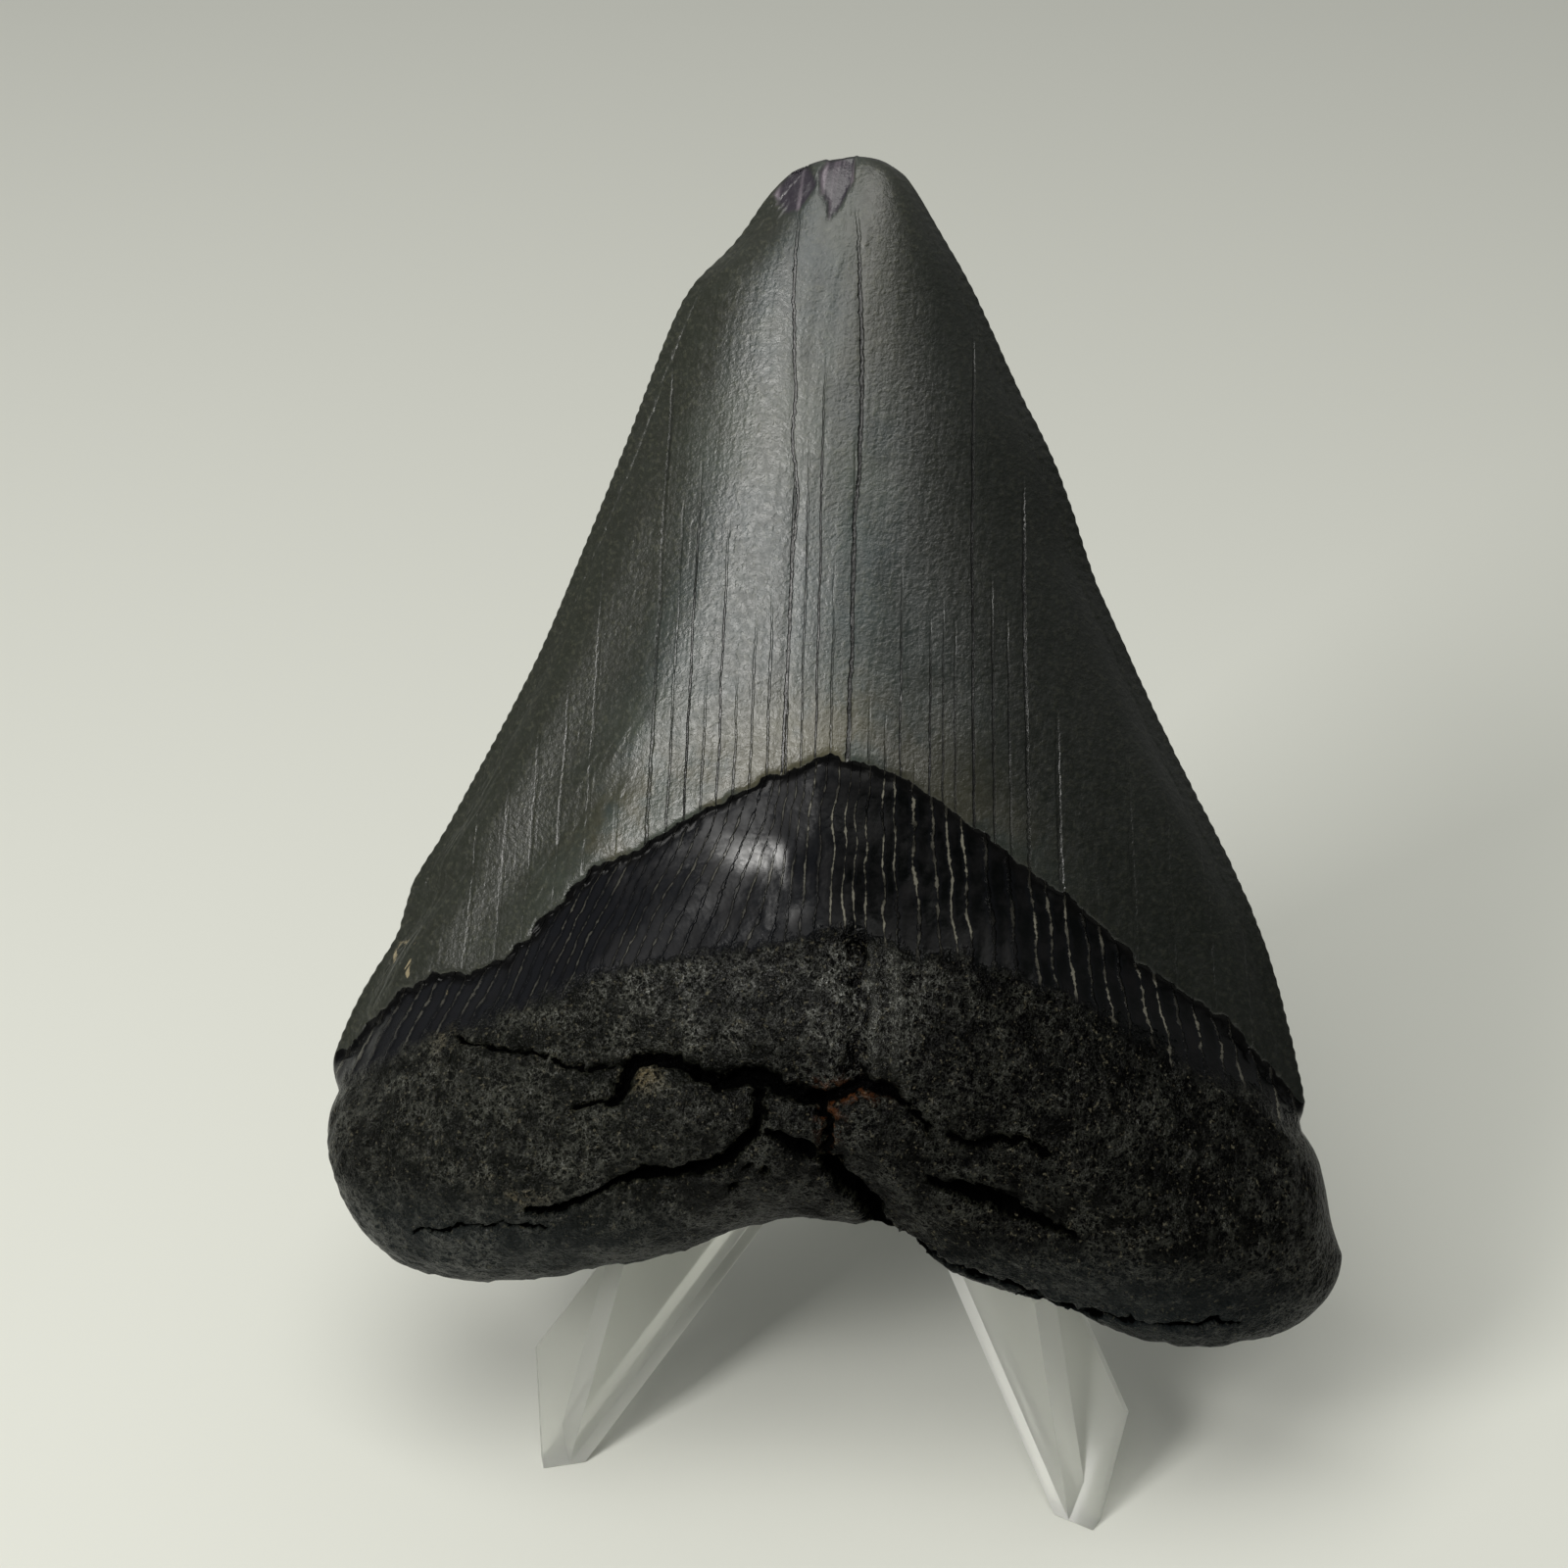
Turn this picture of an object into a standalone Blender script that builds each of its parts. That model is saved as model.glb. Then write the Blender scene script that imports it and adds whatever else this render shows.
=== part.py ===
"""A fossil shark tooth leaning on a small clear three-legged easel.

The tooth is one solid: two sheets, the bulging tongue side and the flatter lip side, welded along the
cutting edges and the underside of the root. Its sheets are drawn in the tooth's own plane: across (a), up
its axis (b) and out towards the viewer (c), all in millimetres, with the zero where the root arches.
The easel is one moulding: two front legs with a web and a foot flange each, and a rear leg, on one post.
"""

from math import cos, pi, radians, sin

import bmesh
import bpy
import numpy as np
from mathutils import Matrix, Vector

MM = 0.001

# How the tooth stands, in the easel's frame: the zero is midway between the two front feet
TOOTH_ZERO = (-2.0, 9.5, 23.0)
LEAN_BACK = radians(28)

# The tooth's outline and the rows that its surface follows, from the root up, each from left to right
ROOT_UNDERSIDE = [
    (-42.6, 4.1), (-41.1, 0.9), (-39.9, -2.4), (-37.7, -5.0), (-33.9, -7.3), (-29.3, -8.0), (-23.8, -7.4),
    (-18.3, -6.0), (-13.7, -4.7), (-7.9, -2.4), (-3.9, -0.5), (0.0, 0.4), (3.6, 0.2), (5.6, -0.4), (7.1, 0.9),
    (9.2, -0.9), (12.6, -2.9), (19.2, -4.7), (23.1, -5.5), (28.3, -6.8), (33.4, -7.6), (38.4, -6.7),
    (42.2, -4.8), (44.8, -1.5), (45.4, 1.3),
]
ROOT_TOP = [
    (-42.4, 6.7), (-36.0, 11.0), (-30.0, 13.9), (-21.8, 18.0), (-14.6, 21.1), (-7.3, 23.0), (-2.5, 24.8),
    (1.5, 25.5), (5.7, 24.6), (10.5, 24.1), (17.0, 23.2), (23.6, 20.6), (30.3, 17.7), (36.1, 15.0), (41.0, 11.5),
]
ENAMEL_LINE = [
    (-43.4, 9.6), (-41.4, 11.2), (-37.4, 15.8), (-33.4, 18.5), (-30.4, 18.9), (-26.5, 21.3), (-22.4, 26.0),
    (-19.4, 29.1), (-15.9, 31.0), (-9.8, 35.2), (-5.0, 38.0), (-0.2, 40.2), (2.1, 39.7), (5.4, 39.0),
    (9.3, 37.0), (13.2, 34.5), (17.8, 31.2), (20.8, 29.5), (23.9, 26.9), (29.9, 22.8), (34.0, 20.8),
    (37.4, 17.2), (39.8, 14.7), (41.4, 13.4),
]
MID_CROWN = [(-21.4, 64.6), (-14.0, 67.3), (-2.5, 68.6), (9.5, 66.6), (16.9, 63.6)]
TIP = [(-8.4, 89.0), (-6.8, 89.9), (-4.0, 90.7), (-1.1, 90.5), (0.7, 89.4)]

# The left and right sides between the ends of those rows, from the root up
LEFT_SIDES = [
    [(-42.6, 4.1), (-42.8, 5.6), (-42.4, 6.7)],
    [(-42.4, 6.7), (-43.2, 8.0), (-43.4, 9.6)],
    [(-43.4, 9.6), (-43.3, 11.4), (-41.6, 14.4), (-39.2, 19.2), (-38.0, 20.3), (-38.5, 22.0), (-35.2, 29.3),
     (-32.4, 35.4), (-27.5, 46.4), (-24.7, 54.6), (-21.4, 64.6)],
    [(-21.4, 64.6), (-18.7, 73.4), (-16.4, 79.3), (-15.2, 80.6), (-13.9, 81.3), (-11.9, 84.4), (-10.7, 86.6),
     (-8.4, 89.0)],
]
RIGHT_SIDES = [
    [(45.4, 1.3), (44.3, 3.8), (43.3, 7.5), (42.4, 9.8), (41.0, 11.5)],
    [(41.0, 11.5), (41.1, 12.5), (41.4, 13.4)],
    [(41.4, 13.4), (40.6, 16.2), (38.9, 21.4), (36.8, 26.9), (34.2, 31.9), (27.4, 43.0), (22.9, 50.9),
     (20.3, 55.6), (19.4, 57.0), (17.9, 61.6), (16.9, 63.6)],
    [(16.9, 63.6), (14.6, 68.1), (12.4, 71.3), (9.6, 76.5), (6.3, 82.0), (4.1, 84.9), (2.2, 87.8), (0.7, 89.4)],
]
ROWS = [19, 5, 14, 9]
COLUMNS = 46

# How far each face stands from the cutting edges' plane along the middle, by height up the tooth
TONGUE_SIDE = [
    (-9, 10.5), (0, 12.6), (7, 14.6), (13, 15.2), (19, 14.4), (24.5, 12.4), (32, 10.6), (40, 9.6), (52, 7.9),
    (64, 6.2), (75, 4.5), (84, 3.0), (91, 1.7),
]
LIP_SIDE = [(-9, 4.6), (8, 4.9), (24, 4.75), (40, 4.35), (60, 3.3), (75, 2.3), (84, 1.7), (91, 1.0)]
UNDERSIDE_OFFSET, UNDERSIDE_TWIST = 2.5, -0.03
ENAMEL_STEP = 0.45

# Lumps and scoops on the tongue side: place, radius across, radius up and height
SWELLINGS = [
    (-26.7, 1.7, 9.0, 6.0, 1.0), (-19.5, 17.6, 9.0, 4.0, 0.7), (30.4, 3.4, 10.0, 7.0, 1.3),
    (21.8, 14.9, 10.0, 5.0, 0.8), (-9.4, 9.9, 7.0, 3.0, 0.9), (5.5, 9.9, 2.4, 2.4, 0.9),
    (0.3, 9.8, 2.2, 2.0, 0.7), (2.4, 19.3, 7.0, 4.5, 0.8), (-9.0, 87.2, 2.0, 2.3, -0.9),
    (-3.8, 87.4, 1.7, 2.6, -0.9), (18.3, 1.3, 5.0, 2.2, -0.8),
]

# Crevices of the root: half width, depth and route
CREVICES = [
    (1.6, 0.5, [(-30.8, 13.4), (-24.7, 13.1), (-21.2, 14.0), (-16.6, 13.8)]),
    (2.0, 1.1, [(-15.0, 14.1), (-9.5, 14.2), (-4.4, 13.1), (-1.1, 13.2), (2.2, 12.0), (4.5, 13.2), (7.3, 13.8)]),
    (1.8, 0.7, [(9.5, 11.7), (12.0, 9.9), (18.4, 10.2)]),
    (1.9, 0.8, [(-17.8, 0.4), (-12.8, 4.0), (-8.8, 5.2), (-5.7, 6.8), (-4.0, 9.8)]),
    (2.2, 1.3, [(3.6, 7.8), (4.5, 6.0), (5.9, 3.2), (6.8, -0.2)]),
    (2.0, 1.0, [(13.5, 6.3), (15.4, 5.2), (18.8, 4.5), (23.3, 3.7)]),
    (1.6, 0.6, [(10.3, 1.6), (15.7, -0.8), (20.6, -2.2), (25.6, -3.0), (32.1, -3.2), (38.5, -2.7)]),
    (1.6, 0.5, [(-33.8, -2.9), (-26.7, -1.4), (-20.3, -0.8)]),
]

# The easel, in millimetres from midway between the front feet
FOOT = (22.0, 0.5, 0.0)
ARCH_TOP = (0.0, 30.9, 24.2)
POST_TOP = 54.0
LEDGE_FRONT = (17.76, 6.36, 18.6)
LEDGE_BACK = (13.03, 12.9, 18.6)
FLANGE_CORNER = (25.9, 6.1, 8.1)
FLANGE_FOOT_WIDTH = 2.3
FLANGE_INSET = 1.0
WEB_THICKNESS = 2.0
FLANGE_THICKNESS = 1.2
REAR_KNEE = (38.9, 21.2)
REAR_FOOT_FRONT, REAR_FOOT_BACK = 47.0, 52.0
REAR_FLANGE_WIDTH = 8.0


def smooth_curve(points, shares):
    """Points at these shares of a smooth curve's length, through its own points (cubic, chord-length knots)."""
    points = np.array(points, float)
    knots = np.concatenate([[0], np.cumsum(np.linalg.norm(np.diff(points, axis=0), axis=1))])
    return smooth_values(knots / knots[-1], points, shares)


def smooth_values(knots, values, at):
    """Cubic Hermite interpolation with slopes from the neighbouring knots."""
    knots, values, at = np.array(knots, float), np.array(values, float), np.asarray(at, float)
    slopes = np.gradient(values, knots, axis=0)
    span = np.clip(np.searchsorted(knots, at, side="right") - 1, 0, len(knots) - 2)
    length = knots[span + 1] - knots[span]
    u = (at - knots[span]) / length
    if values.ndim == 2:
        length, u = length[:, None], u[:, None]
    start = values[span] * (1 + 2 * u) * (1 - u) ** 2 + slopes[span] * length * u * (1 - u) ** 2
    end = values[span + 1] * u**2 * (3 - 2 * u) + slopes[span + 1] * length * u**2 * (u - 1)
    return start + end


def distance_to_route(a, b, route):
    """How far each place is from a route of straight runs."""
    nearest = np.full(np.shape(a), np.inf)
    for start, end in zip(route[:-1], route[1:]):
        run = np.subtract(end, start)
        share = np.clip(((a - start[0]) * run[0] + (b - start[1]) * run[1]) / (run @ run), 0, 1)
        nearest = np.minimum(nearest, np.hypot(a - start[0] - share * run[0], b - start[1] - share * run[1]))
    return nearest


def column_shares():
    """Shares across the tooth, closer together near its sides, where the surface turns."""
    even = np.linspace(0, 1, COLUMNS + 1)
    return 0.5 * even + 0.5 * (0.5 - 0.5 * np.cos(pi * even))


def tooth_plan():
    """Places (a, b) of the surface's rows and columns in the tooth's plane, and how far up each row is."""
    guides = [smooth_curve(row, column_shares()) for row in (ROOT_UNDERSIDE, ROOT_TOP, ENAMEL_LINE, MID_CROWN, TIP)]
    heights = np.array([0.0, 0.30, 0.43, 0.75, 1.0])
    rows, row_heights = [], []
    for band, count in enumerate(ROWS):
        shares = np.arange(count + (band == len(ROWS) - 1)) / count
        if band == 0:
            shares = shares**1.25
        if band == len(ROWS) - 1:
            shares = 1 - (1 - shares) ** 1.3
        left = smooth_curve(LEFT_SIDES[band], shares)
        right = smooth_curve(RIGHT_SIDES[band], shares)
        levels = heights[band] + shares * (heights[band + 1] - heights[band])
        for share, level, first, last in zip(shares, levels, left, right):
            blend = share if 0 < band < 3 else share * share * (3 - 2 * share) * 0.4 + share * 0.6
            row = (1 - blend) * guides[band] + blend * guides[band + 1]
            across = column_shares()[:, None]
            rows.append(row + (1 - across) * (first - row[0]) + across * (last - row[-1]))
            row_heights.append(level)
    return np.array(rows), np.array(row_heights), heights


def rounding(shares):
    """A quarter circle's rise from 0 to 1."""
    return np.sqrt(1 - (1 - np.clip(shares, 0, 1)) ** 2)


def tooth_faces():
    """The tongue side and the lip side as arrays of points, by row and column, in the tooth's own axes."""
    plan, level, (_, root_top, enamel_line, _, _) = tooth_plan()
    a, b = plan[..., 0], plan[..., 1]
    level = level[:, None]
    across = np.abs(2 * column_shares()[None, :] - 1)
    crown = np.clip((level - root_top) / (enamel_line - root_top), 0, 1)
    crown = crown * crown * (3 - 2 * crown)
    middle = b[:, COLUMNS // 2 : COLUMNS // 2 + 1]
    tongue_reach = smooth_values(*np.transpose(TONGUE_SIDE), middle.ravel())[:, None]
    lip_reach = smooth_values(*np.transpose(LIP_SIDE), middle.ravel())[:, None]

    root_section = (1 - across**3.2) ** 0.55
    crown_section = (1 - across**2.2) ** 1.15
    underside = rounding(level / (root_top * 0.55))
    tip = rounding((1 - level) / 0.035)
    tongue = tongue_reach * ((1 - crown) * root_section * underside + crown * crown_section * tip)
    lip_root = (1 - across**4.0) ** 0.5
    lip_crown = (1 - across**2.4) ** 0.9
    lip = lip_reach * ((1 - crown) * lip_root * rounding(level / (root_top * 0.35)) + crown * lip_crown * tip)

    fade = np.minimum(1, tongue / 2.5)
    for place_a, place_b, wide, tall, height in SWELLINGS:
        tongue += fade * height * np.exp(-(((a - place_a) / wide) ** 2) - ((b - place_b) / tall) ** 2)
    for half_width, depth, route in CREVICES:
        tongue -= fade * depth * np.exp(-((distance_to_route(a, b, route) / half_width) ** 2))
    tongue += fade * ENAMEL_STEP * (level >= enamel_line - 1e-9) * (across < 0.999)
    seam = (UNDERSIDE_OFFSET + UNDERSIDE_TWIST * a) * (1 - np.clip(level / root_top, 0, 1)) ** 2 * (1 - across**6)
    return np.dstack([a, b, seam + tongue]), np.dstack([a, b, seam - lip])


def tooth_to_world():
    """The tooth's axes in the easel's frame: across, up the leaning tooth, and out towards the viewer."""
    up = Vector((0, sin(LEAN_BACK), cos(LEAN_BACK)))
    out = Vector((0, -cos(LEAN_BACK), sin(LEAN_BACK)))
    turn = Matrix((Vector((1, 0, 0)), up, out)).transposed().to_4x4()
    return Matrix.Translation(Vector(TOOTH_ZERO) * MM) @ turn @ Matrix.Scale(MM, 4)


def new_object(name, bm, collection):
    mesh = bpy.data.meshes.new(name)
    bm.to_mesh(mesh)
    bm.free()
    made = bpy.data.objects.new(name, mesh)
    collection.objects.link(made)
    return made


def give_material(target, name, colour, roughness, transmission=0.0, ior=1.5):
    material = bpy.data.materials.new(name)
    material.use_nodes = True
    shader = material.node_tree.nodes["Principled BSDF"]
    shader.inputs["Base Color"].default_value = (*colour, 1.0)
    shader.inputs["Roughness"].default_value = roughness
    shader.inputs["Metallic"].default_value = 0.0
    shader.inputs["Transmission Weight"].default_value = transmission
    shader.inputs["IOR"].default_value = ior
    target.data.materials.clear()
    target.data.materials.append(material)


def build_tooth(collection):
    bm = bmesh.new()
    for sheet in tooth_faces():
        rows, columns = sheet.shape[0] - 1, sheet.shape[1] - 1
        grid = bmesh.ops.create_grid(bm, x_segments=columns, y_segments=rows, size=0.5)["verts"]
        for vert in grid:
            vert.co = sheet[round((vert.co.y + 0.5) * rows), round((vert.co.x + 0.5) * columns)]
    bmesh.ops.remove_doubles(bm, verts=bm.verts, dist=0.002)
    bmesh.ops.recalc_face_normals(bm, faces=bm.faces)
    bmesh.ops.transform(bm, matrix=tooth_to_world(), verts=bm.verts)
    tooth = new_object("tooth", bm, collection)
    tooth.data.shade_smooth()
    tooth.data.set_sharp_from_angle(angle=radians(50))
    give_material(tooth, "fossil_enamel_and_root", (0.055, 0.058, 0.052), 0.45)
    return tooth


def plane_normal(corners):
    """The normal of the plane that fits a closed outline, by Newell's sum."""
    total = Vector()
    for corner, following in zip(corners, corners[1:] + corners[:1]):
        total += corner.cross(following)
    return total.normalized()


def plate(name, corners, thickness, facing, collection):
    """A flat piece of sheet: its outline lies on one face, and it thickens away from the facing side."""
    corners = [Vector(corner) * MM for corner in corners]
    normal = plane_normal(corners)
    if normal.dot(Vector(facing)) < 0:
        normal.negate()
    along = (corners[2] - corners[0]).cross(normal).normalized()
    side = normal.cross(along)
    basis = Matrix((along, side, normal)).transposed().to_4x4()
    place = Matrix.Translation(corners[0] - normal * thickness * MM / 2) @ basis

    outline = bpy.data.curves.new(name, "CURVE")
    outline.dimensions = "2D"
    outline.fill_mode = "BOTH"
    outline.extrude = thickness * MM / 2
    spline = outline.splines.new("POLY")
    spline.points.add(len(corners) - 1)
    for point, corner in zip(spline.points, corners):
        reach = corner - corners[0]
        point.co = (reach.dot(along), reach.dot(side), 0, 1)
    spline.use_cyclic_u = True
    curve = bpy.data.objects.new(name, outline)
    curve.matrix_world = place
    collection.objects.link(curve)
    bpy.context.view_layer.update()

    graph = bpy.context.evaluated_depsgraph_get()
    bm = bmesh.new()
    bm.from_mesh(bpy.data.meshes.new_from_object(curve.evaluated_get(graph)))
    bmesh.ops.remove_doubles(bm, verts=bm.verts, dist=1e-6)
    bmesh.ops.dissolve_limit(bm, angle_limit=radians(1), verts=bm.verts, edges=bm.edges)
    bmesh.ops.transform(bm, matrix=place, verts=bm.verts)
    bmesh.ops.recalc_face_normals(bm, faces=bm.faces)
    bpy.data.objects.remove(curve)
    return new_object(name, bm, collection)


def mirrored(point, hand):
    return Vector((point[0] * hand, point[1], point[2]))


def front_leg(hand, collection):
    """The web that carries the root and backs the tooth, and the flange along its lower edge."""
    foot, arch = Vector(FOOT), Vector(ARCH_TOP)
    slope = arch - foot
    sunk = Vector((0, 0, -0.5))
    past_post = slope * (WEB_THICKNESS / 2 / foot.x)
    web = [
        foot + (foot - Vector(LEDGE_FRONT)) * 0.08, Vector(LEDGE_FRONT), Vector(LEDGE_BACK),
        Vector((0, arch.y, POST_TOP)) + past_post, arch + past_post + sunk,
    ]

    corner = Vector(FLANGE_CORNER)
    reach = corner - foot
    across = (reach - slope * (reach.dot(slope) / slope.length_squared)).normalized()
    inset = -across * FLANGE_INSET
    level_line = reach.cross(slope).cross(Vector((0, 0, 1))).normalized()
    toe = foot + Vector((abs(level_line.x), -abs(level_line.y), 0)) * FLANGE_FOOT_WIDTH
    flange = [
        foot - slope * 0.06 + inset, toe + (toe - corner) * 0.12, corner, corner + slope * 0.72, arch + inset,
    ]
    return [
        plate("leg_web", [mirrored(point, hand) for point in web], WEB_THICKNESS, (-hand, -1, 0), collection),
        plate("leg_flange", [mirrored(point, hand) for point in flange], FLANGE_THICKNESS, (0, -1, 1), collection),
    ]


def rear_leg(collection):
    """The web behind the post, and the flange along its lower edge."""
    post, half, below_ground = ARCH_TOP[1], WEB_THICKNESS / 2, -1.5
    lower_edge = [(post, ARCH_TOP[2]), REAR_KNEE, (REAR_FOOT_FRONT, below_ground)]
    upper_edge = [(REAR_FOOT_BACK, below_ground), (post + 4.0, POST_TOP - 1.5), (post, POST_TOP)]
    web = [(half, y, z) for y, z in lower_edge + upper_edge]
    pieces = [plate("rear_web", web, WEB_THICKNESS, (1, 0, 0), collection)]
    reach = REAR_FLANGE_WIDTH / 2
    for (y, z), (next_y, next_z) in zip(lower_edge[:-1], lower_edge[1:]):
        past_end = Vector((0, next_y - y, next_z - z)).normalized() * 0.6
        start, end = Vector((0, y, z)) - past_end, Vector((0, next_y, next_z)) + past_end
        side = Vector((reach, 0, 0))
        flange = [start - side, start + side, end + side, end - side]
        pieces.append(plate("rear_flange", flange, FLANGE_THICKNESS, (0, -1, -1), collection))
    return pieces


def boolean(target, other, operation):
    cut = target.modifiers.new(f"{operation.lower()}_{other.name}", "BOOLEAN")
    cut.operation = operation
    cut.solver = "EXACT"
    cut.object = other
    other.hide_render = True
    other.display_type = "WIRE"


def build_easel(collection, cutters):
    pieces = front_leg(1, cutters) + front_leg(-1, cutters) + rear_leg(cutters)
    easel = pieces[0]
    cutters.objects.unlink(easel)
    collection.objects.link(easel)
    easel.name = "easel_stand"
    for piece in pieces[1:]:
        boolean(easel, piece, "UNION")

    bm = bmesh.new()
    bmesh.ops.create_cube(bm, size=1.0)
    bmesh.ops.scale(bm, vec=(0.2, 0.2, 0.02), verts=bm.verts)
    bmesh.ops.translate(bm, vec=(0, 0.02, -0.01), verts=bm.verts)
    boolean(easel, new_object("ground_cutter", bm, cutters), "DIFFERENCE")
    give_material(easel, "clear_moulded_plastic", (0.86, 0.86, 0.82), 0.18, transmission=0.9, ior=1.49)
    return easel


def centre_on_footprint(parts):
    """Puts the origin under the middle of the whole object's box, on the surface it stands on."""
    graph = bpy.context.evaluated_depsgraph_get()
    corners = []
    for part in parts:
        mesh = part.evaluated_get(graph).to_mesh()
        corners += [part.matrix_world @ vert.co for vert in mesh.vertices]
    corners = np.array(corners)
    low, high = corners.min(axis=0), corners.max(axis=0)
    shift = Vector((-(low[0] + high[0]) / 2, -(low[1] + high[1]) / 2, -low[2]))
    for item in bpy.data.objects:
        if item.type == "MESH":
            item.data.transform(Matrix.Translation(shift))


def main():
    for item in list(bpy.data.objects):
        bpy.data.objects.remove(item)
    collection = bpy.data.collections.new("tooth_on_easel")
    cutters = bpy.data.collections.new("cutters")
    for group in (collection, cutters):
        bpy.context.scene.collection.children.link(group)
    tooth = build_tooth(collection)
    easel = build_easel(collection, cutters)
    bpy.context.view_layer.update()
    centre_on_footprint([tooth, easel])


main()
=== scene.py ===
from math import cos, pi, radians, sin

import bmesh
import bpy
import numpy as np
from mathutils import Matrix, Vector, noise


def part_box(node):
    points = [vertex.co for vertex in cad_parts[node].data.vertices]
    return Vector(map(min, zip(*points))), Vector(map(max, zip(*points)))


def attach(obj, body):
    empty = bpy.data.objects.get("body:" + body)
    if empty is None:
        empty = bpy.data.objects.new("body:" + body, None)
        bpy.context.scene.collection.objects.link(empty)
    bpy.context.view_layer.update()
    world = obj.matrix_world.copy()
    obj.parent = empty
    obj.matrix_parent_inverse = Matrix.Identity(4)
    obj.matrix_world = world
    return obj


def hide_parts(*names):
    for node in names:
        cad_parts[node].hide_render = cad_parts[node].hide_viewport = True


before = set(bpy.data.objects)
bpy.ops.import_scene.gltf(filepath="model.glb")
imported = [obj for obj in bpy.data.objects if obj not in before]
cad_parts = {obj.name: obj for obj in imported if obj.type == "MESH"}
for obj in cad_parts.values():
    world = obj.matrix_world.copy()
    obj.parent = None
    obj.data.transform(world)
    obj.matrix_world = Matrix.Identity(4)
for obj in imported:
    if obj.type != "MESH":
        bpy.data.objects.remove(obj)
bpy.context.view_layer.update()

# Camera: an 85 mm lens about a third of a metre away, looking down past the right of the tooth's middle. Its
# place, in millimetres, is measured from midway between the easel's front feet.
MM = 0.001
FRONT_EDGE_OF_FEET = 0.37
CAMERA_AZIMUTH, CAMERA_ELEVATION = radians(9.451), radians(31.0)
CAMERA_FROM_FEET = (37.32, -241.02, 218.68)
easel_low, easel_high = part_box("easel_stand")
feet_middle = Vector(((easel_low.x + easel_high.x) / 2, easel_low.y + FRONT_EDGE_OF_FEET * MM, 0))
camera_place = feet_middle + Vector(CAMERA_FROM_FEET) * MM
camera_back = Vector((
    sin(CAMERA_AZIMUTH) * cos(CAMERA_ELEVATION),
    -cos(CAMERA_AZIMUTH) * cos(CAMERA_ELEVATION),
    sin(CAMERA_ELEVATION),
))
lens = bpy.data.cameras.new("camera")
lens.lens = 85.0
lens.sensor_width = 36.0
lens.sensor_fit = "HORIZONTAL"
lens.clip_start, lens.clip_end = 0.01, 20.0
camera = bpy.data.objects.new("camera", lens)
camera.location = camera_place
camera.rotation_euler = camera_back.to_track_quat("Z", "Y").to_euler()
bpy.context.scene.collection.objects.link(camera)
bpy.context.scene.camera = camera
bpy.context.scene.view_settings.view_transform = "Standard"

# Studio: a pale matt floor, a soft light like a window high at the left, a second one overhead, and a world
# that is brightest high up behind the object.
FLOOR_SIZE = 6.0
FLOOR_BELOW_FEET = 0.1 * MM
# Each light's name, place and target in metres from midway between the feet, width, watts and colour
LIGHTS = [
    ("window", (-0.43, -0.57, 0.58), (0, 0.03, 0.05), 0.27, 4.6, (1.0, 0.985, 0.95)),
    ("overhead", (-0.09, -0.16, 0.6), (0, 0, 0), 0.42, 2.4, (1.0, 0.99, 0.95)),
]
BRIGHTEST_SKY = (0.0, 0.62, 0.78)
SKY_COLOUR = (0.86, 0.87, 0.84, 1.0)
SKY_STRENGTH = {"From Min": 0.05, "From Max": 0.9, "To Min": 0.03, "To Max": 0.5}


def new_material(name):
    """A material with only a Principled shader and its output."""
    made = bpy.data.materials.new(name)
    made.use_nodes = True
    return made, made.node_tree.nodes, made.node_tree.links, made.node_tree.nodes["Principled BSDF"]


bm = bmesh.new()
bmesh.ops.create_grid(bm, x_segments=1, y_segments=1, size=FLOOR_SIZE / 2)
floor_mesh = bpy.data.meshes.new("floor")
bm.to_mesh(floor_mesh)
bm.free()
floor = bpy.data.objects.new("floor", floor_mesh)
floor.location.z = -FLOOR_BELOW_FEET
bpy.context.scene.collection.objects.link(floor)
floor_material, nodes, links, shader = new_material("floor_paper")
shader.inputs["Base Color"].default_value = (0.66, 0.67, 0.62, 1.0)
shader.inputs["Roughness"].default_value = 0.9
shader.inputs["Specular IOR Level"].default_value = 0.2
floor_mesh.materials.append(floor_material)

for name, place, target, width, watts, colour in LIGHTS:
    light = bpy.data.lights.new(name, "AREA")
    light.shape = "RECTANGLE"
    light.size = light.size_y = width
    light.energy = watts
    light.color = colour
    lamp = bpy.data.objects.new(name, light)
    lamp.location = feet_middle + Vector(place)
    lamp.rotation_euler = (Vector(place) - Vector(target)).to_track_quat("Z", "Y").to_euler()
    bpy.context.scene.collection.objects.link(lamp)

world = bpy.data.worlds.new("studio")
world.use_nodes = True
sky_nodes, sky_links = world.node_tree.nodes, world.node_tree.links
direction = sky_nodes.new("ShaderNodeTexCoord").outputs["Generated"]
towards_light = sky_nodes.new("ShaderNodeVectorMath")
towards_light.operation = "DOT_PRODUCT"
towards_light.inputs[1].default_value = BRIGHTEST_SKY
sky_links.new(direction, towards_light.inputs[0])
sky = sky_nodes.new("ShaderNodeMapRange")
sky.interpolation_type = "SMOOTHSTEP"
for name, setting in SKY_STRENGTH.items():
    sky.inputs[name].default_value = setting
sky_links.new(towards_light.outputs["Value"], sky.inputs["Value"])
sky_links.new(sky.outputs["Result"], sky_nodes["Background"].inputs["Strength"])
sky_nodes["Background"].inputs["Color"].default_value = SKY_COLOUR
bpy.context.scene.world = world

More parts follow.
